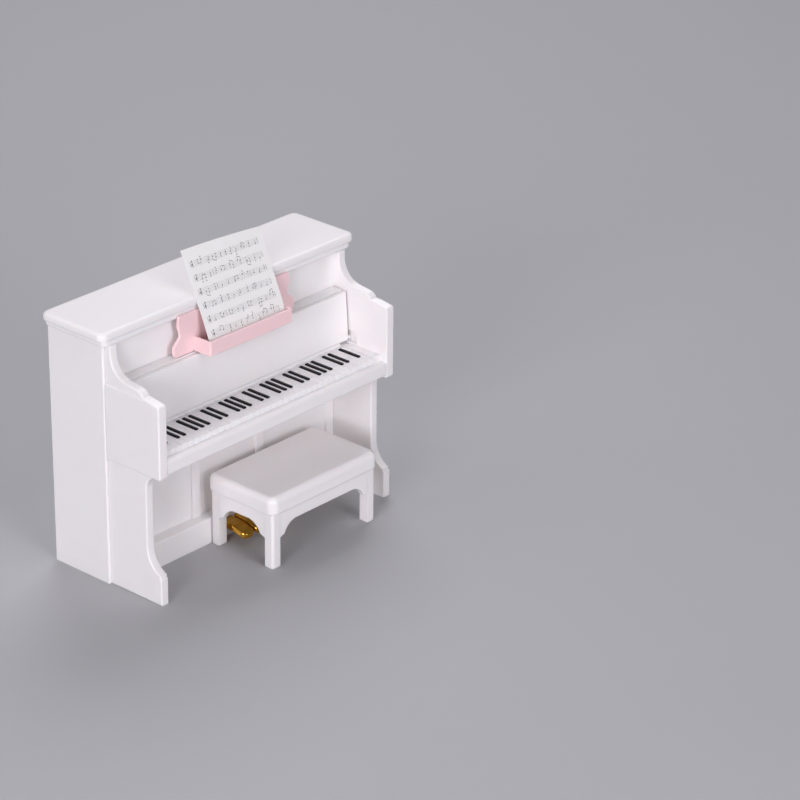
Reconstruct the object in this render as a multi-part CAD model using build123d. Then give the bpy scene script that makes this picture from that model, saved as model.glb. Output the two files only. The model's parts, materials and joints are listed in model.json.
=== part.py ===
from build123d import *

import os

# Miniature upright piano with its bench, music stand and music sheet, in millimetres.
# X runs along the keyboard (right is +X for a player), +Y points to the piano's back, +Z is up.
# The origin lies on the underside of the case, midway between its sides and between its front and back.

# ---------------------------------------------------------------- driving dimensions
# case
case_width = 123.0
case_depth = 28.0
total_height = 100.0
wall = 2.0
lid_thickness = 3.2
moulding_height = 2.4
lid_side_overhang = 3.5
lid_front_overhang = 3.8
moulding_side_overhang = 1.9
moulding_front_overhang = 3.1
lid_corner_radius = 3.0

# arms, each one piece with its leg and toe
arm_inner_x = 57.0
leg_outer_x = 60.5
cheek_outer_x = 61.0
arm_reach = 27.0
arm_bottom_z = 50.0
arm_top_z = 80.0
arm_nose_z = 78.4
leg_reach = 19.3
toe_reach = 26.0
toe_height = 10.7
arm_tongue = 5.0
arm_outer_rounding = 0.5
arm_inner_rounding = 0.45

# keyboard
key_pitch = 3.04
white_key_count = 35
black_key_groups = (1, 2, 3, 2, 3, 2, 3, 2, 3, 2, 1)
white_top_z = 58.7
black_rise = 0.6
black_key_width = 1.2
black_key_length = 10.1
black_key_setback = 1.4
key_front_reach = 24.2
key_groove = 0.12
key_top_thickness = 1.0
black_slot_gap = 0.05
key_ledge_z = 59.55
key_bed_z = 51.2
key_bed_thickness = 2.0
slip_top_z = 56.6

# fallboard, hinged along its lower edge
fallboard_axis_reach = 7.2
fallboard_axis_z = 61.0
fallboard_lean = 4.0
fallboard_length = 18.8
fallboard_half_width = 56.3
barrel_radius = 1.0
pin_radius = 0.8
pin_clearance = 0.05
pin_end_x = 59.2

# music shelf
shelf_top_z = 80.0
shelf_thickness = 1.3
shelf_reach = 4.8
shelf_half_width = 56.3
shelf_gap = 0.25
shelf_tongue_x = 52.0
shelf_tongue_step = 0.3

# lower front
plinth_height = 10.3
plinth_reach = 4.2
stile_width = 4.2
middle_stile_x = 16.8
stile_relief = 0.9
panel_thickness = 1.8

# pedals
pedal_centre_x = 1.3
pedal_pitch = 6.7
pedal_width = 5.8
pedal_thickness = 2.8
pedal_reach = 12.1
pedal_knee = 4.5
pedal_drop = 1.9
pedal_z = 5.9
pedal_rounding = 0.95

# music stand
stand_reach = 4.45
stand_thickness = 1.1
stand_height = 15.4
stand_gap = 0.25
tray_half_width = 21.2
tray_depth = 8.55
tray_height = 5.5
tray_wall = 0.9

# music sheet
sheet_width = 39.0
sheet_length = 36.4
sheet_thickness = 0.25
sheet_offset_x = 0.4
sheet_lean = 23.2

# bench
bench_length = 54.9
bench_depth = 31.4
bench_height = 29.0
bench_offset_x = 13.5
seat_underside_z = 22.1
seat_overhang = 1.1
leg_size = 4.0
apron_thickness = 2.4
apron_arch_z = 17.2

# ---------------------------------------------------------------- derived places
front_y = -case_depth / 2
back_y = case_depth / 2
case_top_z = total_height - lid_thickness - moulding_height
side_outer_x = case_width / 2
side_inner_x = side_outer_x - wall
arm_front_y = front_y - arm_reach
leg_front_y = front_y - leg_reach
toe_front_y = front_y - toe_reach
plinth_front_y = front_y - plinth_reach
axis_y = front_y - fallboard_axis_reach
key_front_y = front_y - key_front_reach
key_rear_y = front_y - 1.2
panel_front_y = front_y - 0.2
panel_field_y = panel_front_y + stile_relief
key_bed_top_z = key_bed_z + key_bed_thickness
keys_half_width = white_key_count * key_pitch / 2
pedal_places = {
    "left": pedal_centre_x - pedal_pitch,
    "middle": pedal_centre_x,
    "right": pedal_centre_x + pedal_pitch,
}

os.makedirs("parts", exist_ok=True)


# ---------------------------------------------------------------- small helpers
def block(low, high):
    """A box between two corners."""
    size = [b - a for a, b in zip(low, high)]
    middle = [(a + b) / 2 for a, b in zip(low, high)]
    return Pos(*middle) * Box(*size)


def slab_yz(face, x_from, x_to):
    """A profile drawn in Y and Z, pulled along X."""
    return extrude(Plane.YZ.offset(x_from) * face, amount=x_to - x_from)


def edges_along(shape, axis):
    return shape.edges().filter_by(axis)


def save(shape, node):
    export_step(shape, f"parts/{node}.step")


def save_pair(shape, node):
    """Writes a right-hand piece, and its mirror image for the left."""
    save(shape, f"{node}_right")
    save(mirror(shape, about=Plane.YZ), f"{node}_left")


# ---------------------------------------------------------------- case shell
def side_panel():
    panel = block((side_inner_x, front_y, 0), (side_outer_x, back_y, case_top_z))
    outer = edges_along(panel, Axis.Z).group_by(Axis.X)[-1]
    return fillet(outer, 0.35)


def back_panel():
    panel = block((-side_inner_x, back_y - wall, 0), (side_inner_x, back_y, case_top_z))
    recess = block((-side_inner_x + 6, back_y - 0.6, 6), (side_inner_x - 6, back_y, case_top_z - 6))
    recess = fillet(edges_along(recess, Axis.Y), 2.0)
    return panel - recess


def bottom_board():
    return block((-side_inner_x, panel_field_y + panel_thickness, 0), (side_inner_x, back_y - wall, wall))


def top_lid():
    half = side_outer_x + lid_side_overhang
    front = front_y - lid_front_overhang
    slab = block((-half, front, total_height - lid_thickness), (half, back_y, total_height))
    slab = fillet(edges_along(slab, Axis.Z), lid_corner_radius)
    slab = fillet(slab.faces().sort_by(Axis.Z)[-1].edges(), 1.4)
    return fillet(slab.faces().sort_by(Axis.Z)[0].edges(), 0.9)


def lid_moulding():
    half = side_outer_x + moulding_side_overhang
    front = front_y - moulding_front_overhang
    tier = block((-half, front, case_top_z), (half, back_y, case_top_z + moulding_height))
    tier = fillet(edges_along(tier, Axis.Z), 2.2)
    return fillet(tier.faces().sort_by(Axis.Z)[0].edges(), 0.9)


# ---------------------------------------------------------------- arms, legs and toes
def arm_outline():
    """Side view of an arm: cove, ogee and sloping top, rounded underside, leg and toe."""
    cove = TangentArc((front_y - 10.6, 82.4), (front_y - 2.9, 90.6), tangent=(5.0, 0.6))
    rise = cove % 1
    shoulder_top = cove @ 1 + rise * ((case_top_z - 90.6) / rise.Y)
    shoulder = Line(cove @ 1, shoulder_top)
    top = Line(shoulder_top, (front_y, case_top_z))
    shelf = Line(cove @ 0, (front_y - 15.6, 81.8))
    ogee = TangentArc(shelf @ 1, (front_y - 18.5, 80.3), tangent=shelf % 1)
    step = Line(ogee @ 1, (front_y - 18.7, 79.7))
    slope = Line(step @ 1, (arm_front_y, arm_nose_z))
    front = Line(slope @ 1, (arm_front_y, arm_bottom_z))
    under = Line(front @ 1, (leg_front_y - 5.6, arm_bottom_z))
    armpit = TangentArc(under @ 1, (leg_front_y, arm_bottom_z - 5.6), tangent=(1, 0))
    leg = Line(armpit @ 1, (leg_front_y, 21.0))
    instep = TangentArc(leg @ 1, (toe_front_y + 0.6, toe_height + 1.0), tangent=(0, -1))
    toe_step = Line(instep @ 1, (toe_front_y + 0.6, toe_height))
    toe_top = Line(toe_step @ 1, (toe_front_y, toe_height))
    toe = Line(toe_top @ 1, (toe_front_y, 0))
    sole = Line(toe @ 1, (front_y, 0))
    rear = Line(sole @ 1, (front_y, case_top_z))
    upper = [top, shoulder, cove, shelf, ogee, step, slope, front]
    lower = [under, armpit, leg, instep, toe_step, toe_top, toe, sole, rear]
    outline = make_face(upper + lower)
    corners = (
        (arm_front_y, arm_nose_z, 1.0),
        (arm_front_y, arm_bottom_z, 0.9),
        (toe_front_y, toe_height, 0.4),
    )
    for y, z, radius in corners:
        outline = fillet(outline.vertices().sort_by_distance((y, z, 0))[0], radius)
    return outline


def outer_side(shape):
    return shape.faces().sort_by(Axis.X)[-1]


def arm():
    """Arm, leg and toe in one, with a thicker cheek beside the keys and a tongue inside the case."""
    outline = arm_outline()
    body = slab_yz(outline, arm_inner_x, leg_outer_x)
    body = fillet(outer_side(body).edges(), arm_outer_rounding)
    inner = body.faces().sort_by(Axis.X)[0]
    inner_rim = [edge for edge in inner.edges() if edge.center().Y < front_y - 0.5 and edge.center().Z > 0.5]
    body = fillet(inner_rim, arm_inner_rounding)
    cheek = slab_yz(outline, leg_outer_x - 0.8, cheek_outer_x)
    cheek = cheek & block((leg_outer_x - 1, arm_front_y, arm_bottom_z), (70, front_y, arm_top_z - 0.6))
    cheek = fillet(outer_side(cheek).edges(), 0.6)
    tongue = block((arm_inner_x, front_y, wall), (side_inner_x, front_y + arm_tongue, case_top_z))
    pocket = block((arm_inner_x - 1, axis_y - 4.6, 59.6), (arm_inner_x + 1.0, axis_y + 1.3, 64.2))
    bore_end = pin_end_x + 0.3
    bore = Pos((arm_inner_x + bore_end) / 2, axis_y, fallboard_axis_z) * Rot(0, 90, 0)
    bore = bore * Cylinder(pin_radius + pin_clearance, bore_end - arm_inner_x)
    return body + cheek + tongue - pocket - bore


# ---------------------------------------------------------------- front panels
def upper_panel():
    rear = panel_front_y + panel_thickness
    panel = block((-arm_inner_x, panel_front_y, key_bed_top_z), (arm_inner_x, rear, case_top_z))
    slot = block(
        (-shelf_tongue_x, panel_front_y - 1, shelf_top_z - shelf_thickness),
        (shelf_tongue_x, rear + 1, shelf_top_z - shelf_tongue_step),
    )
    return panel - slot


def music_shelf():
    """Shelf with a fine gap round its back and ends, held by a tongue in the upper panel."""
    front = front_y - shelf_reach
    rear = panel_front_y - shelf_gap
    floor = shelf_top_z - shelf_thickness
    shelf = block((-shelf_half_width, front, floor), (shelf_half_width, rear, shelf_top_z))
    rear_corners = edges_along(shelf, Axis.Z).group_by(Axis.Y)[-1]
    shelf = fillet(rear_corners, 1.5)
    shelf = fillet(edges_along(shelf, Axis.X).group_by(Axis.Y)[0], 0.2)
    tongue = block(
        (-shelf_tongue_x, rear - 1, floor),
        (shelf_tongue_x, panel_front_y + panel_thickness, shelf_top_z - shelf_tongue_step),
    )
    return shelf + tongue


def fallboard():
    """The key cover, upright and open at rest, with a round lower edge and a stub pin at each end."""
    profile = Pos(-0.05, fallboard_length / 2) * Rectangle(2 * barrel_radius - 0.1, fallboard_length)
    profile = profile + Circle(barrel_radius)
    panel = slab_yz(profile, -fallboard_half_width, fallboard_half_width)
    top_edges = edges_along(panel, Axis.X).group_by(Axis.Z)[-1]
    panel = fillet(top_edges, 0.4)
    pins = Rot(0, 90, 0) * Cylinder(pin_radius, 2 * pin_end_x)
    return Pos(0, axis_y, fallboard_axis_z) * Rot(-fallboard_lean, 0, 0) * (panel + pins)


def lower_panel():
    """Three sunk fields between four upright stiles."""
    rear = panel_field_y + panel_thickness
    panel = block((-arm_inner_x, panel_field_y, 0.5), (arm_inner_x, rear, key_bed_z))
    end_x = arm_inner_x - stile_width / 2
    for centre in (-end_x, -middle_stile_x, middle_stile_x, end_x):
        stile = block(
            (centre - stile_width / 2, panel_front_y, plinth_height),
            (centre + stile_width / 2, panel_field_y, key_bed_z),
        )
        stile = fillet(edges_along(stile, Axis.Z).group_by(Axis.Y)[0], 0.5)
        panel = panel + stile
    return panel


def plinth():
    """Kick board across the bottom: an upright board with a ledge behind its top edge."""
    board_rear = plinth_front_y + panel_thickness
    board = block((-arm_inner_x, plinth_front_y, 0), (arm_inner_x, board_rear, plinth_height))
    ledge_z = plinth_height - 1.5
    ledge = block((-arm_inner_x, board_rear - 1, ledge_z), (arm_inner_x, panel_field_y, plinth_height))
    piece = board + ledge
    piece = fillet(edges_along(piece, Axis.X).group_by(Axis.Y)[0].sort_by(Axis.Z)[-1], 0.6)
    half = pedal_thickness / 2 + 0.15
    for x in pedal_places.values():
        slot = block(
            (x - pedal_width / 2 - 0.15, plinth_front_y - 1, pedal_z - half),
            (x + pedal_width / 2 + 0.15, plinth_front_y + 2.4, pedal_z + half),
        )
        piece = piece - slot
    return piece


# ---------------------------------------------------------------- pedals
def pedal(x):
    """Level where it leaves the plinth, then bending down to a broad, rounded tip."""
    half = pedal_thickness / 2
    root = plinth_front_y + 2.4
    knee = plinth_front_y - pedal_knee
    tip = plinth_front_y - pedal_reach
    tip_z = pedal_z - pedal_drop
    side = Polyline(
        (root, pedal_z + half),
        (knee, pedal_z + half),
        (tip, tip_z + half),
        (tip, tip_z - half),
        (knee, pedal_z - half),
        (root, pedal_z - half),
        close=True,
    )
    side = make_face(side)
    side = fillet(side.vertices().filter_by_position(Axis.X, knee - 0.1, knee + 0.1), 8.0)
    bar = slab_yz(side, x - pedal_width / 2, x + pedal_width / 2)
    plan = block((x - pedal_width / 2, tip, 0), (x + pedal_width / 2, root, pedal_z + 5))
    plan = fillet(edges_along(plan, Axis.Z).group_by(Axis.Y)[0], 2.2)
    bar = bar & plan
    in_front = [edge for edge in bar.edges() if edge.center().Y < root - 0.5]
    rims = [edge for edge in in_front if abs(edge.tangent_at(0.5).Z) < 0.9]
    return fillet(rims, pedal_rounding)


def pedal_bar():
    left = pedal_places["left"] - pedal_width / 2 - 1
    right = pedal_places["right"] + pedal_width / 2 + 1
    bar = block((left, plinth_front_y + 2.4, 3.4), (right, panel_field_y, plinth_height - 1.5))
    return fillet(edges_along(bar, Axis.Y), 0.8)


# ---------------------------------------------------------------- keyboard
def black_key_places():
    """X of each black key: they stand on the lines between white keys, in their groups."""
    places = []
    boundary = 1
    for count in black_key_groups:
        for step in range(count):
            places.append((boundary + step) * key_pitch - keys_half_width)
        boundary = boundary + count + 1
    return places


def key_bed():
    rear = panel_field_y + panel_thickness
    return block((-arm_inner_x, key_front_y, key_bed_z), (arm_inner_x, rear, key_bed_top_z))


def key_slip():
    slip = block((-arm_inner_x, arm_front_y + 0.1, key_bed_z), (arm_inner_x, key_front_y, slip_top_z))
    top_front = edges_along(slip, Axis.X).group_by(Axis.Z)[-1].sort_by(Axis.Y)[0]
    slip = fillet(top_front, 1.3)
    bottom_front = edges_along(slip, Axis.X).group_by(Axis.Z)[0].sort_by(Axis.Y)[0]
    return fillet(bottom_front, 0.5)


def key_block():
    piece = block((keys_half_width, key_front_y, key_bed_top_z), (arm_inner_x, axis_y + 4, white_top_z + 0.2))
    top = edges_along(piece, Axis.X).group_by(Axis.Z)[-1].sort_by(Axis.Y)[0]
    return fillet(top, 0.8)


def white_key():
    """One key top: rounded front, softened edges, hanging a little over the strip's front skirt."""
    half = key_pitch / 2 - key_groove / 2
    floor = white_top_z - key_top_thickness
    front = block((-half, key_front_y + 0.1, floor - 1.6), (half, key_front_y + 1.8, white_top_z))
    front = fillet(edges_along(front, Axis.Z).group_by(Axis.Y)[0], 0.2)
    tail = block((-half, key_front_y + 1.0, floor), (half, key_rear_y, white_top_z))
    key = front + tail
    return fillet(key.faces().sort_by(Axis.Z)[-1].edges(), 0.14)


def white_keys():
    """One moulding: key tops side by side on a plate, with a skirt at the front and a raised ledge at the back."""
    floor = white_top_z - key_top_thickness
    plate_floor = floor - 1.5
    half = keys_half_width
    plate = block((-half, key_front_y + 1.0, plate_floor), (half, key_rear_y, floor))
    back = block((-half, key_rear_y - 1.2, key_bed_top_z), (half, key_rear_y, plate_floor))
    skirt = block((-half, key_front_y + 0.7, key_bed_top_z), (half, key_front_y + 1.9, floor))
    ledge = block((-half, axis_y + 0.3, floor), (half, key_rear_y, key_ledge_z))
    key = white_key()
    places = [(number + 0.5) * key_pitch - keys_half_width for number in range(white_key_count)]
    strip = plate.fuse(back, skirt, ledge, *[Pos(x, 0, 0) * key for x in places])
    slots = [Pos(x, 0, 0) * black_bar(black_slot_gap, 0.0) for x in black_key_places()]
    return strip.cut(*slots)


def black_bar(grow, rounding):
    """A black key from the comb's floor up to its top, or with grow the slot that it stands in."""
    rear = axis_y - barrel_radius - black_key_setback + 0.2
    half = black_key_width / 2 + grow
    low = (-half, rear - black_key_length - grow, key_bed_top_z)
    high = (half, rear + grow, white_top_z + black_rise)
    bar = block(low, high)
    if rounding > 0:
        bar = fillet(bar.faces().sort_by(Axis.Z)[-1].edges(), rounding)
    return bar


def black_keys():
    """A comb under the white strip, with the black keys standing up through it."""
    half = keys_half_width - 1
    comb = block(
        (-half, key_front_y + 3, key_bed_top_z),
        (half, key_rear_y - 1.8, key_bed_top_z + 1.4),
    )
    bars = [Pos(x, 0, 0) * black_bar(0.0, 0.25) for x in black_key_places()]
    return comb.fuse(*bars)


# ---------------------------------------------------------------- music stand and sheet
def stand_place():
    """The foot of the stand's front face, on the music shelf."""
    return Pos(0, front_y - stand_reach, shelf_top_z + stand_gap)


def stand_back():
    """Upright plate with waisted sides and flared, rounded feet."""
    corners = (
        (30.9, 0, 1.8),
        (30.9, 4.0, 1.0),
        (27.7, 7.2, 1.0),
        (27.7, 8.6, 1.5),
        (28.6, 11.6, 1.5),
        (28.1, stand_height, 0.6),
    )
    half = make_face(Polyline((0, 0), *[(x, z) for x, z, radius in corners], (0, stand_height), close=True))
    for x, z, radius in corners:
        half = fillet(half.vertices().sort_by_distance((x, z, 0))[0], radius)
    plate = extrude(Plane.XZ * half, amount=-stand_thickness)
    plate = plate + mirror(plate, about=Plane.YZ)
    front = plate.faces().sort_by(Axis.Y)[0]
    return stand_place() * fillet(front.edges(), 0.25)


def stand_tray():
    """Open-topped tray against the plate: floor, front lip and two side walls."""
    floor_z = 0.35
    outer = block((-tray_half_width, -tray_depth, floor_z), (tray_half_width, 0, floor_z + tray_height))
    outer = fillet(edges_along(outer, Axis.Z).group_by(Axis.Y)[0], 0.7)
    inner = block(
        (-tray_half_width + tray_wall, -tray_depth + tray_wall, floor_z + 1.0),
        (tray_half_width - tray_wall, 1, floor_z + 10),
    )
    tray = outer - inner
    rim = tray.faces().sort_by(Axis.Z)[-1]
    return stand_place() * fillet(rim.edges(), 0.3)


def music_sheet():
    """Stiff paper, standing in the tray and leaning on the front edge of the lid."""
    foot = Pos(sheet_offset_x, front_y - 11.52, 81.9) * Rot(-sheet_lean, 0, 0)
    half = sheet_width / 2
    return foot * block((-half, -sheet_thickness / 2, 0), (half, sheet_thickness / 2, sheet_length))


# ---------------------------------------------------------------- bench
bench_back_y = plinth_front_y - 0.4
bench_front_y = bench_back_y - bench_depth
bench_left_x = bench_offset_x - bench_length / 2
bench_right_x = bench_offset_x + bench_length / 2


def bench_seat():
    low = (bench_left_x - seat_overhang, bench_front_y - seat_overhang, seat_underside_z)
    high = (bench_right_x + seat_overhang, bench_back_y + seat_overhang, bench_height)
    seat = block(low, high)
    seat = fillet(edges_along(seat, Axis.Z), 3.4)
    seat = fillet(seat.faces().sort_by(Axis.Z)[-1].edges(), 2.4)
    return fillet(seat.faces().sort_by(Axis.Z)[0].edges(), 0.9)


def bench_leg(x_side, y_side):
    """A square leg with its outer corner well rounded, at one corner of the bench."""
    x = bench_offset_x + x_side * (bench_length - leg_size) / 2
    y = (bench_front_y + bench_back_y) / 2 + y_side * (bench_depth - leg_size) / 2
    leg = Pos(x, y, seat_underside_z / 2) * Box(leg_size, leg_size, seat_underside_z)
    column = edges_along(leg, Axis.Z).group_by(Axis.X)[0 if x_side < 0 else -1]
    outer = column.sort_by(Axis.Y)[0 if y_side < 0 else -1]
    leg = fillet(outer, 1.1)
    return chamfer(leg.faces().sort_by(Axis.Z)[0].edges(), 0.45)


def apron_outline(length):
    """An apron seen from outside: straight on top, with a bracket at each end of its arch."""
    half = length / 2
    top = Line((0, seat_underside_z), (half, seat_underside_z))
    end = Line(top @ 1, (half, 12.0))
    lip = Line(end @ 1, (half - 2.3, 12.9))
    bracket = ThreePointArc(lip @ 1, (half - 4.4, 15.7), (half - 8.0, apron_arch_z))
    arch = Line(bracket @ 1, (0, apron_arch_z))
    middle = Line(arch @ 1, (0, seat_underside_z))
    return make_face([top, end, lip, bracket, arch, middle])


def apron(length):
    half = extrude(Plane.XZ * apron_outline(length), amount=-apron_thickness)
    return half + mirror(half, about=Plane.YZ)


def save_bench():
    save(bench_seat(), "bench_seat")
    for x_name, x_side in (("left", -1), ("right", 1)):
        for y_name, y_side in (("front", -1), ("back", 1)):
            save(bench_leg(x_side, y_side), f"bench_leg_{y_name}_{x_name}")
    middle_y = (bench_front_y + bench_back_y) / 2
    long_apron = apron(bench_length - 2 * leg_size)
    short_apron = apron(bench_depth - 2 * leg_size)
    save(Pos(bench_offset_x, bench_front_y, 0) * long_apron, "bench_apron_front")
    save(Pos(bench_offset_x, bench_back_y, 0) * Rot(0, 0, 180) * long_apron, "bench_apron_back")
    save(Pos(bench_left_x, middle_y, 0) * Rot(0, 0, -90) * short_apron, "bench_apron_left")
    save(Pos(bench_right_x, middle_y, 0) * Rot(0, 0, 90) * short_apron, "bench_apron_right")


# ---------------------------------------------------------------- written pieces
save_pair(side_panel(), "case_side")
save(back_panel(), "back_panel")
save(bottom_board(), "bottom_board")
save(top_lid(), "top_lid")
save(lid_moulding(), "lid_moulding")
save_pair(arm(), "arm")
save(upper_panel(), "upper_panel")
save(music_shelf(), "music_shelf")
save(fallboard(), "fallboard")
save(lower_panel(), "lower_panel")
save(plinth(), "plinth")
for name, x in pedal_places.items():
    save(pedal(x), f"pedal_{name}")
save(pedal_bar(), "pedal_bar")
save(key_bed(), "key_bed")
save(key_slip(), "key_slip")
save_pair(key_block(), "key_block")
save(white_keys(), "white_keys")
save(black_keys(), "black_keys")
save(stand_back(), "stand_back")
save(stand_tray(), "stand_tray")
save(music_sheet(), "music_sheet")
save_bench()
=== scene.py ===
import json
import math
import random

import bmesh
import bpy
from mathutils import Matrix, Vector


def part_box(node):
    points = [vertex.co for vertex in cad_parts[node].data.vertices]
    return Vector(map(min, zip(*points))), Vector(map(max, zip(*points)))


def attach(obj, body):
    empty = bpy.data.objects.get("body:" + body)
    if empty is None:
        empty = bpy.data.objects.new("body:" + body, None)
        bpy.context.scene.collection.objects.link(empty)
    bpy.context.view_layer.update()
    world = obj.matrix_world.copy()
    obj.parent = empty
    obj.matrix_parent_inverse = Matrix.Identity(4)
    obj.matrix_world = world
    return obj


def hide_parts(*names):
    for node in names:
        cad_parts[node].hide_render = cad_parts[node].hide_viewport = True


# Looks for the miniature upright piano, its bench, its music stand and its music sheet.
# Lengths are in metres.

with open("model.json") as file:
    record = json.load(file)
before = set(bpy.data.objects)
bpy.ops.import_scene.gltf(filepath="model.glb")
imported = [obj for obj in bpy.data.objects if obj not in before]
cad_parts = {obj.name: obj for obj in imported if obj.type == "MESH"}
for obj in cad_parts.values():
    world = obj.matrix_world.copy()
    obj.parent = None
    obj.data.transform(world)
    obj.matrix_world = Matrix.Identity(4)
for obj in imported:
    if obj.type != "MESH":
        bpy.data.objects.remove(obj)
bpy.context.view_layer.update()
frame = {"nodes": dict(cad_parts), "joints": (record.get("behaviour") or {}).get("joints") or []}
nodes = frame["nodes"]
MM = 0.001

# ---------------------------------------------------------------- colours, as linear values
# Each lighter colour below, laid along edges, is a painted highlight.
WHITE = (0.935, 0.898, 0.886)
WHITE_PAINTED_HIGHLIGHT = (0.948, 0.920, 0.912)
WHITE_DULL = (0.920, 0.879, 0.865)
KEY_WHITE = (0.953, 0.934, 0.930)
KEY_WHITE_PAINTED_HIGHLIGHT = (0.962, 0.948, 0.945)
KEY_WHITE_DULL = (0.938, 0.913, 0.907)
BLACK = (0.004, 0.003, 0.004)
BLACK_PAINTED_HIGHLIGHT = (0.010, 0.009, 0.010)
BLACK_DULL = (0.006, 0.005, 0.006)
PINK = (0.985, 0.700, 0.712)
PINK_PAINTED_HIGHLIGHT = (0.990, 0.760, 0.768)
PINK_DULL = (0.975, 0.665, 0.680)
GOLD = (0.830, 0.470, 0.070)
GOLD_PAINTED_HIGHLIGHT = (0.980, 0.680, 0.220)
GOLD_DULL = (0.600, 0.310, 0.045)
PAPER = (0.950, 0.938, 0.900)
PAPER_DULL = (0.925, 0.910, 0.872)
INK = (0.060, 0.058, 0.060)
INK_FADED = (0.220, 0.215, 0.218)
FLOOR = (0.452, 0.453, 0.460)
FLOOR_DULL = (0.437, 0.438, 0.445)


# ---------------------------------------------------------------- material helpers
def add(tree, kind, inputs=None, **settings):
    """A node of that kind, with its sockets set and its inputs linked to the sockets given."""
    node = tree.nodes.new("ShaderNode" + kind)
    for key, value in settings.items():
        setattr(node, key, value)
    for key, value in (inputs or {}).items():
        if isinstance(value, bpy.types.NodeSocket):
            tree.links.new(value, node.inputs[key])
        else:
            node.inputs[key].default_value = value
    return node


def new_tree(name):
    """An empty material, its node tree and its output node."""
    material = bpy.data.materials.new(name)
    material.use_nodes = True
    tree = material.node_tree
    tree.nodes.clear()
    output = add(tree, "OutputMaterial")
    return material, tree, output


def noise(tree, where, scale, detail=2.0, roughness=0.5):
    """Noise from 0 to 1 with that many features to the metre."""
    inputs = {"Vector": where, "Scale": scale, "Detail": detail, "Roughness": roughness}
    return add(tree, "TexNoise", inputs).outputs["Fac"]


def remap(tree, value, low, high, new_low, new_high):
    """Value from low to high, moved to new_low to new_high and clamped."""
    inputs = {"Value": value, "From Min": low, "From Max": high, "To Min": new_low, "To Max": new_high}
    return add(tree, "MapRange", inputs, clamp=True).outputs["Result"]


def mix(tree, share, first, second):
    """First colour where share is 0 and second where it is 1."""
    node = add(tree, "Mix", data_type="RGBA")
    for index, value in ((0, share), (6, first), (7, second)):
        if isinstance(value, bpy.types.NodeSocket):
            tree.links.new(value, node.inputs[index])
        else:
            node.inputs[index].default_value = (*value, 1.0) if isinstance(value, tuple) else value
    return node.outputs[2]


def edge_share(tree, rounded):
    """0 on flat faces, 1 along outer and inner edges."""
    surface = add(tree, "NewGeometry").outputs["Normal"]
    dot = add(tree, "VectorMath", {0: rounded, 1: surface}, operation="DOT_PRODUCT")
    return remap(tree, dot.outputs["Value"], 0.995, 0.90, 0.0, 1.0)


# Features to the metre in each texture.
SINK_MARKS = 55.0
ORANGE_PEEL = 620.0
SKIN_GRAIN = 3600.0
DUST = 260.0


def moulded(
    name, base, light, dull, roughness, spread, waviness,
    depth=0.0, depth_mm=1.0, rounding_mm=0.28, ior=1.5,
):
    """Moulded plastic: sink marks, orange peel, a fine grain, dust specks and smoother edges, with a painted
    highlight that lightens the edges.
    """
    material, tree, output = new_tree(name)
    where = add(tree, "TexCoord").outputs["Object"]
    slow = noise(tree, where, SINK_MARKS, 3.0)
    peel = noise(tree, where, ORANGE_PEEL, 2.0)
    grain = noise(tree, where, SKIN_GRAIN, 2.0)
    rounded = add(tree, "Bevel", {"Radius": rounding_mm * MM}, samples=4).outputs["Normal"]
    edge = edge_share(tree, rounded)
    speck_field = add(tree, "TexVoronoi", {"Vector": where, "Scale": DUST, "Randomness": 1.0})
    speck = remap(tree, speck_field.outputs["Distance"], 0.025, 0.045, 0.2, 0.0)
    tone = mix(tree, remap(tree, slow, 0.38, 0.66, 0.0, 0.55), base, dull)
    # Painted highlight: the edges are lightened towards the lighter colour.
    tone = mix(tree, remap(tree, edge, 0.0, 1.0, 0.0, 0.8), tone, light)
    tone = mix(tree, speck, tone, dull)
    gloss = add(tree, "Math", {0: slow, 1: peel}, operation="ADD").outputs["Value"]
    gloss = remap(tree, gloss, 0.7, 1.3, roughness - spread, roughness + spread)
    smoother = remap(tree, edge, 0.0, 1.0, 0.0, 0.012)
    gloss = add(tree, "Math", {0: gloss, 1: smoother}, operation="SUBTRACT").outputs["Value"]
    wide = {"Height": slow, "Strength": waviness, "Distance": 0.03 * MM, "Normal": rounded}
    wide = add(tree, "Bump", wide).outputs["Normal"]
    skin = {"Height": peel, "Strength": waviness, "Distance": 0.0025 * MM, "Normal": wide}
    skin = add(tree, "Bump", skin).outputs["Normal"]
    fine = {"Height": grain, "Strength": 0.2, "Distance": 0.0006 * MM, "Normal": skin}
    fine = add(tree, "Bump", fine).outputs["Normal"]
    shader = add(tree, "BsdfPrincipled", {
        "Base Color": tone, "Roughness": gloss, "IOR": ior, "Normal": fine,
        "Subsurface Weight": depth, "Subsurface Radius": (1.0, 0.6, 0.45), "Subsurface Scale": depth_mm * MM,
    })
    tree.links.new(shader.outputs[0], output.inputs["Surface"])
    return material


def plated(name, base, light, dull):
    """Shiny gold finish with fine polish lines, and a painted highlight that pales the edges."""
    material, tree, output = new_tree(name)
    where = add(tree, "TexCoord").outputs["Object"]
    stretched = add(tree, "Mapping", {"Vector": where, "Scale": (6.0, 0.6, 6.0)}).outputs["Vector"]
    polish = noise(tree, stretched, 900.0, 3.0)
    slow = noise(tree, where, 260.0, 2.0)
    rounded = add(tree, "Bevel", {"Radius": 0.25 * MM}, samples=4).outputs["Normal"]
    edge = edge_share(tree, rounded)
    tone = mix(tree, remap(tree, slow, 0.35, 0.7, 0.0, 0.8), base, dull)
    # Painted highlight: the edges are paled towards the lighter gold.
    tone = mix(tree, remap(tree, edge, 0.0, 1.0, 0.0, 0.7), tone, light)
    gloss = remap(tree, polish, 0.3, 0.7, 0.07, 0.13)
    scratch = {"Height": polish, "Strength": 0.2, "Distance": 0.002 * MM, "Normal": rounded}
    scratch = add(tree, "Bump", scratch).outputs["Normal"]
    shader = add(tree, "BsdfPrincipled", {
        "Base Color": tone, "Metallic": 1.0, "Roughness": gloss, "Normal": scratch,
    })
    tree.links.new(shader.outputs[0], output.inputs["Surface"])
    return material


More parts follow.
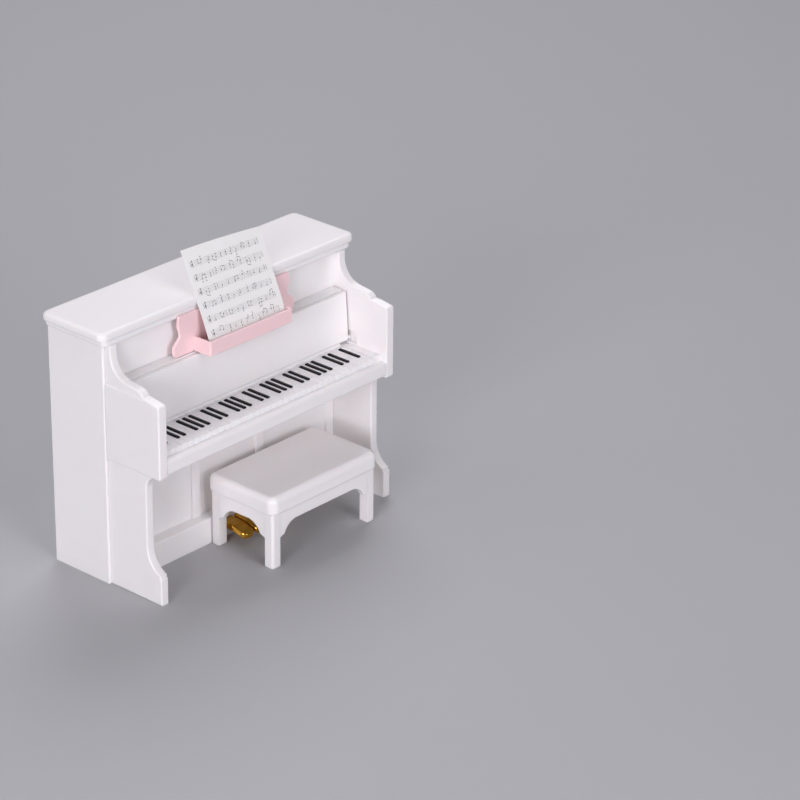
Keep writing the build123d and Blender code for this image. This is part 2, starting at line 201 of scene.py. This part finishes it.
def paper(name, base, dull):
    """Matt printing paper: fibres, a slight mottle and a soft rough surface."""
    material, tree, output = new_tree(name)
    where = add(tree, "TexCoord").outputs["Object"]
    stretched = add(tree, "Mapping", {"Vector": where, "Scale": (1.0, 3.0, 3.0)}).outputs["Vector"]
    fibre = noise(tree, stretched, 2600.0, 4.0, 0.65)
    mottle = noise(tree, where, 180.0, 3.0)
    both = add(tree, "Math", {0: fibre, 1: mottle}, operation="MULTIPLY").outputs["Value"]
    tone = mix(tree, remap(tree, both, 0.12, 0.42, 0.0, 1.0), base, dull)
    gloss = remap(tree, mottle, 0.3, 0.7, 0.72, 0.88)
    tooth = add(tree, "Bump", {"Height": fibre, "Strength": 0.5, "Distance": 0.01 * MM})
    shader = add(tree, "BsdfPrincipled", {
        "Base Color": tone, "Roughness": gloss, "IOR": 1.45, "Normal": tooth.outputs[0],
        "Subsurface Weight": 0.15, "Subsurface Radius": (1.0, 0.9, 0.8), "Subsurface Scale": 0.1 * MM,
    })
    tree.links.new(shader.outputs[0], output.inputs["Surface"])
    return material


def ink(name, base, faded):
    """Printing ink that takes unevenly on the paper."""
    material, tree, output = new_tree(name)
    where = add(tree, "TexCoord").outputs["Object"]
    take = noise(tree, where, 3000.0, 3.0)
    tone = mix(tree, remap(tree, take, 0.35, 0.7, 0.0, 1.0), base, faded)
    gloss = remap(tree, take, 0.3, 0.7, 0.45, 0.7)
    shader = add(tree, "BsdfPrincipled", {"Base Color": tone, "Roughness": gloss})
    tree.links.new(shader.outputs[0], output.inputs["Surface"])
    return material


def studio_floor(name, base, dull):
    """Smooth, dull background board."""
    material, tree, output = new_tree(name)
    where = add(tree, "TexCoord").outputs["Object"]
    slow = noise(tree, where, 2.2, 3.0)
    tooth = noise(tree, where, 1500.0, 2.0)
    tone = mix(tree, remap(tree, slow, 0.3, 0.7, 0.0, 1.0), base, dull)
    gloss = remap(tree, slow, 0.3, 0.7, 0.50, 0.58)
    skin = add(tree, "Bump", {"Height": tooth, "Strength": 0.2, "Distance": 0.01 * MM})
    shader = add(tree, "BsdfPrincipled", {
        "Base Color": tone, "Roughness": gloss, "Specular IOR Level": 0.25, "Normal": skin.outputs[0],
    })
    tree.links.new(shader.outputs[0], output.inputs["Surface"])
    return material


# ---------------------------------------------------------------- materials
white_plastic = moulded(
    "white_plastic", WHITE, WHITE_PAINTED_HIGHLIGHT, WHITE_DULL, 0.325, 0.03, 0.5, depth=0.2, depth_mm=2.0,
)
key_plastic = moulded(
    "key_plastic", KEY_WHITE, KEY_WHITE_PAINTED_HIGHLIGHT, KEY_WHITE_DULL, 0.315, 0.02, 0.4,
    depth=0.12, depth_mm=1.2, rounding_mm=0.1,
)
black_plastic = moulded(
    "black_plastic", BLACK, BLACK_PAINTED_HIGHLIGHT, BLACK_DULL, 0.40, 0.04, 0.3, rounding_mm=0.12, ior=1.3,
)
pink_plastic = moulded(
    "pink_plastic", PINK, PINK_PAINTED_HIGHLIGHT, PINK_DULL, 0.42, 0.06, 0.5, depth=0.12, depth_mm=0.8,
)
gold_finish = plated("gold_finish", GOLD, GOLD_PAINTED_HIGHLIGHT, GOLD_DULL)
sheet_paper = paper("sheet_paper", PAPER, PAPER_DULL)
print_ink = ink("print_ink", INK, INK_FADED)
floor_board = studio_floor("floor_board", FLOOR, FLOOR_DULL)

# Every other node is white plastic.
special = {
    "white_keys": key_plastic,
    "black_keys": black_plastic,
    "stand_back": pink_plastic,
    "stand_tray": pink_plastic,
    "pedal_left": gold_finish,
    "pedal_middle": gold_finish,
    "pedal_right": gold_finish,
    "music_sheet": sheet_paper,
}
for node_name, node in nodes.items():
    node.data.materials.clear()
    node.data.materials.append(special.get(node_name, white_plastic))


# ---------------------------------------------------------------- music sheet
sheet_low, sheet_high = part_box("music_sheet")
sheet_joint = next(joint for joint in frame["joints"] if joint["name"] == "sheet_slide")
along = Vector(sheet_joint["axis"]).normalized()
across = Vector((1.0, 0.0, 0.0))
facing = across.cross(along)
cad_corners = [Vector(vertex.co) for vertex in nodes["music_sheet"].data.vertices]
cad_middle = sum(cad_corners, Vector()) / len(cad_corners)
sheet_span = max((corner - cad_middle).dot(along) for corner in cad_corners) * 2
sheet_foot = cad_middle - along * (sheet_span / 2)
SHEET_HALF = (sheet_high.x - sheet_low.x) / 2
PAPER_THICKNESS = 0.16 * MM
REST_HEIGHT = 21.0 * MM
BOW = 0.3 * MM
CURL = 0.9 * MM


def sheet_top(u):
    """Length of the sheet at u across it: cut slightly askew."""
    share = u / SHEET_HALF
    return sheet_span + (0.2 - 1.08 * share - 0.32 * share * share) * MM


def sheet_point(u, v, lift=0.0):
    """Point u across and v up the bowed, slightly curled paper, and lift in front of its middle."""
    bow = BOW * math.sin(math.pi * min(v, REST_HEIGHT) / REST_HEIGHT)
    over = max(0.0, v - REST_HEIGHT) / (sheet_span - REST_HEIGHT)
    share = u / SHEET_HALF
    curl = -CURL * over * over * (0.35 + 0.65 * max(0.0, share) ** 2)
    return sheet_foot + across * u + along * v + facing * (bow + curl + lift)


def sheet_normal(u, v):
    """Direction out of the printed face at that point."""
    step = 0.2 * MM
    du = sheet_point(u + step, v) - sheet_point(u - step, v)
    dv = sheet_point(u, v + step) - sheet_point(u, v - step)
    return du.cross(dv).normalized()


def new_piece(name, made, material, smooth=False):
    """A mesh object from a bmesh, with outward faces."""
    bmesh.ops.recalc_face_normals(made, faces=made.faces)
    mesh = bpy.data.meshes.new(name)
    made.to_mesh(mesh)
    made.free()
    mesh.materials.append(material)
    if smooth:
        mesh.shade_smooth()
    piece = bpy.data.objects.new(name, mesh)
    bpy.context.scene.collection.objects.link(piece)
    return piece


def paper_sheet():
    """The sheet as a thin closed skin."""
    columns, rows = 26, 26
    made = bmesh.new()
    sides = {}
    for side in (0.5, -0.5):
        for i in range(columns + 1):
            for j in range(rows + 1):
                u = SHEET_HALF * (2 * i / columns - 1)
                v = sheet_top(u) * j / rows
                place = sheet_point(u, v) + sheet_normal(u, v) * (side * PAPER_THICKNESS)
                sides[side, i, j] = made.verts.new(place)
    for side in (0.5, -0.5):
        for i in range(columns):
            for j in range(rows):
                made.faces.new([sides[side, i + a, j + b] for a, b in ((0, 0), (1, 0), (1, 1), (0, 1))])
    rim = [(i, 0) for i in range(columns)]
    rim += [(columns, j) for j in range(rows)]
    rim += [(i, rows) for i in range(columns, 0, -1)]
    rim += [(0, j) for j in range(rows, 0, -1)]
    for first, second in zip(rim, rim[1:] + rim[:1]):
        made.faces.new([sides[0.5, *first], sides[0.5, *second], sides[-0.5, *second], sides[-0.5, *first]])
    return new_piece("paper_sheet", made, sheet_paper)


INK_FRONT = PAPER_THICKNESS / 2 + 0.022 * MM
INK_BACK = PAPER_THICKNESS / 2 - 0.02 * MM


def print_shape(made, outline):
    """A thin closed island of ink over that outline of (u, v) points on the paper."""
    front = [made.verts.new(sheet_point(u, v, INK_FRONT)) for u, v in outline]
    back = [made.verts.new(sheet_point(u, v, INK_BACK)) for u, v in outline]
    made.faces.new(front)
    made.faces.new(back[::-1])
    for i in range(len(outline)):
        k = (i + 1) % len(outline)
        made.faces.new([front[i], front[k], back[k], back[i]])


def print_stroke(made, start, end, width):
    """A straight stroke of that width."""
    way = (end[0] - start[0], end[1] - start[1])
    length = math.hypot(*way)
    side = (-way[1] / length * width / 2, way[0] / length * width / 2)
    corners = [(start[0] + side[0], start[1] + side[1]), (start[0] - side[0], start[1] - side[1])]
    corners += [(end[0] - side[0], end[1] - side[1]), (end[0] + side[0], end[1] + side[1])]
    print_shape(made, corners)


def print_oval(made, centre, long_half, short_half, turn, sides=10):
    """An oval, turned by that angle."""
    outline = []
    for i in range(sides):
        angle = 2 * math.pi * i / sides
        x, y = long_half * math.cos(angle), short_half * math.sin(angle)
        outline.append((
            centre[0] + x * math.cos(turn) - y * math.sin(turn),
            centre[1] + x * math.sin(turn) + y * math.cos(turn),
        ))
    print_shape(made, outline)


STAVE_COUNT = 6
LEFT_MARGIN = 2.3 * MM
RIGHT_MARGIN = 2.6 * MM
STAVE_PITCH = 5.15 * MM
FIRST_STAVE = 31.4 * MM
STAVE_SLOPE = -0.02
LINE_GAP = 0.50 * MM
LINE_WIDTH = 0.045 * MM
LINE_PIECES = 12
BAR_WIDTH = 0.09 * MM
BAR_SHARES = (0.0, 0.27, 0.52, 0.76, 1.0)
CLEF_PLACE = 3.1 * MM
CLEF_WIDTH = 0.16 * MM
LAST_GROUP = 3.4 * MM
LAST_NOTE = 3.2 * MM
# A note's half length, half height and tilt.
NOTE_HEAD = (0.27 * MM, 0.20 * MM, 0.35)
STEM_SIDE = 0.22 * MM
STEM_LENGTH = 1.35 * MM
STEM_WIDTH = 0.08 * MM
BEAM_WIDTH = 0.18 * MM
FLAG_SIDE = 0.45 * MM
FLAG_DROP = 0.7 * MM
FLAG_WIDTH = 0.11 * MM


def stave_v(row, u):
    """Height up the paper of the middle line of a stave at u."""
    return FIRST_STAVE - row * STAVE_PITCH + STAVE_SLOPE * (u + SHEET_HALF)


def printed_lines():
    """Stave lines and bar lines."""
    made = bmesh.new()
    left, right = -SHEET_HALF + LEFT_MARGIN, SHEET_HALF - RIGHT_MARGIN
    for row in range(STAVE_COUNT):
        for line in range(-2, 3):
            for i in range(LINE_PIECES):
                start = left + (right - left) * i / LINE_PIECES
                end = left + (right - left) * (i + 1) / LINE_PIECES
                low, high = stave_v(row, start) + line * LINE_GAP, stave_v(row, end) + line * LINE_GAP
                print_stroke(made, (start, low), (end, high), LINE_WIDTH)
        for share in BAR_SHARES:
            u = left + (right - left) * share
            middle = stave_v(row, u)
            print_stroke(made, (u, middle - 2 * LINE_GAP), (u, middle + 2 * LINE_GAP), BAR_WIDTH)
    return new_piece("printed_lines", made, print_ink)


def print_clef(made, u, middle):
    """A generic sign at the start of a stave: two ovals on a slanted stroke."""
    print_oval(made, (u, middle - 0.5 * LINE_GAP), 0.42 * MM, 0.34 * MM, 0.4)
    foot, head = (u + 0.1 * MM, middle - 2.6 * LINE_GAP), (u + 0.25 * MM, middle + 2.7 * LINE_GAP)
    print_stroke(made, foot, head, CLEF_WIDTH)
    print_oval(made, (u + 0.2 * MM, middle + 2.2 * LINE_GAP), 0.3 * MM, 0.22 * MM, 1.2)


def print_group(made, chance, row, u):
    """One note or two beamed notes from u on, at random pitches, and where the next group starts."""
    together = chance.choice((1, 1, 1, 2, 2))
    way = 1 if chance.random() < 0.5 else -1
    pitch = chance.choice((-3, -2, -1, 0, 1, 2, 3))
    tips = []
    for _ in range(together):
        if u > SHEET_HALF - LAST_NOTE:
            break
        pitch = max(-4, min(4, pitch + chance.choice((-2, -1, 1, 2))))
        v = stave_v(row, u) + pitch * LINE_GAP / 2
        print_oval(made, (u, v), *NOTE_HEAD)
        tip = (u + way * STEM_SIDE, v + way * STEM_LENGTH)
        print_stroke(made, (tip[0], v), tip, STEM_WIDTH)
        if chance.random() < 0.22:
            print_oval(made, (u, v - way * 2 * LINE_GAP), *NOTE_HEAD)
        tips.append(tip)
        u += chance.uniform(1.2, 1.7) * MM
    for start, end in zip(tips, tips[1:]):
        print_stroke(made, start, end, BEAM_WIDTH)
    if len(tips) == 1 and chance.random() < 0.35:
        print_stroke(made, tips[0], (tips[0][0] + FLAG_SIDE, tips[0][1] - way * FLAG_DROP), FLAG_WIDTH)
    return u + chance.uniform(0.8, 2.2) * MM


def printed_notes():
    """A generic clef and generic notes on every stave."""
    made = bmesh.new()
    chance = random.Random(11)
    for row in range(STAVE_COUNT):
        u = -SHEET_HALF + CLEF_PLACE
        print_clef(made, u, stave_v(row, u))
        u += chance.uniform(2.6, 3.6) * MM
        while u < SHEET_HALF - LAST_GROUP:
            u = print_group(made, chance, row, u)
    return new_piece("printed_notes", made, print_ink)


sheet_pieces = [paper_sheet(), printed_lines(), printed_notes()]
for piece in sheet_pieces:
    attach(piece, "music_sheet")
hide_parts("music_sheet")


# ---------------------------------------------------------------- floor with a swept rim all round
FLAT_RADIUS = 3.0
SWEEP_RADIUS = 1.2
WALL_HEIGHT = 2.6


def floor():
    """A round flat floor whose rim sweeps up into a wall."""
    made = bmesh.new()
    steps, turns = 8, 64
    profile = [(0.0, 0.0), (0.4, 0.0), (1.2, 0.0), (FLAT_RADIUS, 0.0)]
    for i in range(1, steps + 1):
        angle = math.radians(90 * i / steps)
        out, up = SWEEP_RADIUS * math.sin(angle), SWEEP_RADIUS * (1 - math.cos(angle))
        profile.append((FLAT_RADIUS + out, up))
    profile.append((FLAT_RADIUS + SWEEP_RADIUS, WALL_HEIGHT))
    centre = made.verts.new((0.0, 0.0, 0.0))
    rings = []
    for radius, height in profile[1:]:
        angles = [2 * math.pi * i / turns for i in range(turns)]
        rings.append([made.verts.new((radius * math.cos(a), radius * math.sin(a), height)) for a in angles])
    for i in range(turns):
        made.faces.new([centre, rings[0][i], rings[0][(i + 1) % turns]])
    for inner, outer in zip(rings, rings[1:]):
        for i in range(turns):
            k = (i + 1) % turns
            made.faces.new([inner[i], outer[i], outer[k], inner[k]])
    piece = new_piece("studio_floor", made, floor_board, smooth=True)
    piece.location = (0.0, -0.02, 0.0)


floor()


# ---------------------------------------------------------------- light
SOFT_WHITE = (1.0, 0.987, 1.058)
LIT_POINT = Vector((0.0, 0.0, 0.05))


def softbox(name, place, size, power):
    """A round soft light aimed at the piano, lighting it without being seen itself."""
    light = bpy.data.lights.new(name, "AREA")
    light.shape = "DISK"
    light.size = size
    light.energy = power
    light.color = SOFT_WHITE
    lamp = bpy.data.objects.new(name, light)
    lamp.location = place
    lamp.rotation_euler = (LIT_POINT - Vector(place)).to_track_quat("-Z", "Y").to_euler()
    lamp.visible_camera = False
    bpy.context.scene.collection.objects.link(lamp)


softbox("top_softbox", (0.05, 0.05, 1.4), 1.2, 2.4)
softbox("top_back_softbox", (0.1, 0.8, 1.2), 1.1, 1.8)
softbox("back_right_softbox", (0.8, 0.6, 1.1), 1.0, 8.6)
softbox("back_left_softbox", (-0.8, 0.7, 1.1), 1.0, 2.7)
softbox("left_softbox", (-1.3, -0.5, 0.40), 0.7, 10.6)
softbox("front_softbox", (-0.3, -1.5, 0.46), 0.8, 8.4)
softbox("high_front_softbox", (-0.1, -1.05, 1.25), 1.0, 4.0)

world = bpy.data.worlds.new("studio")
world.use_nodes = True
background = world.node_tree.nodes["Background"]
background.inputs["Color"].default_value = (1.0, 0.98, 0.97, 1.0)
background.inputs["Strength"].default_value = 0.01
bpy.context.scene.world = world
bpy.context.scene.view_settings.view_transform = "Standard"

# ---------------------------------------------------------------- camera
CAMERA_PLACE = (-0.790285, -0.802521, 0.576504)
CAMERA_YAW, CAMERA_PITCH, CAMERA_ROLL = (math.radians(angle) for angle in (-48.31, -25.22, 0.57))
camera_data = bpy.data.cameras.new("camera")
camera_data.sensor_width = 36.0
camera_data.lens = 151.316
camera_data.shift_y = 0.0041
camera_data.clip_start = 0.01
camera_data.clip_end = 20.0
camera = bpy.data.objects.new("camera", camera_data)
bpy.context.scene.collection.objects.link(camera)
ahead = math.cos(CAMERA_PITCH)
forward = Vector((-math.sin(CAMERA_YAW) * ahead, math.cos(CAMERA_YAW) * ahead, math.sin(CAMERA_PITCH)))
level = Vector((math.cos(CAMERA_YAW), math.sin(CAMERA_YAW), 0.0))
upward = level.cross(forward)
right = level * math.cos(CAMERA_ROLL) + upward * math.sin(CAMERA_ROLL)
top = upward * math.cos(CAMERA_ROLL) - level * math.sin(CAMERA_ROLL)
turn = Matrix((right, top, -forward)).transposed().to_4x4()
camera.matrix_world = Matrix.Translation(CAMERA_PLACE) @ turn
bpy.context.scene.camera = camera
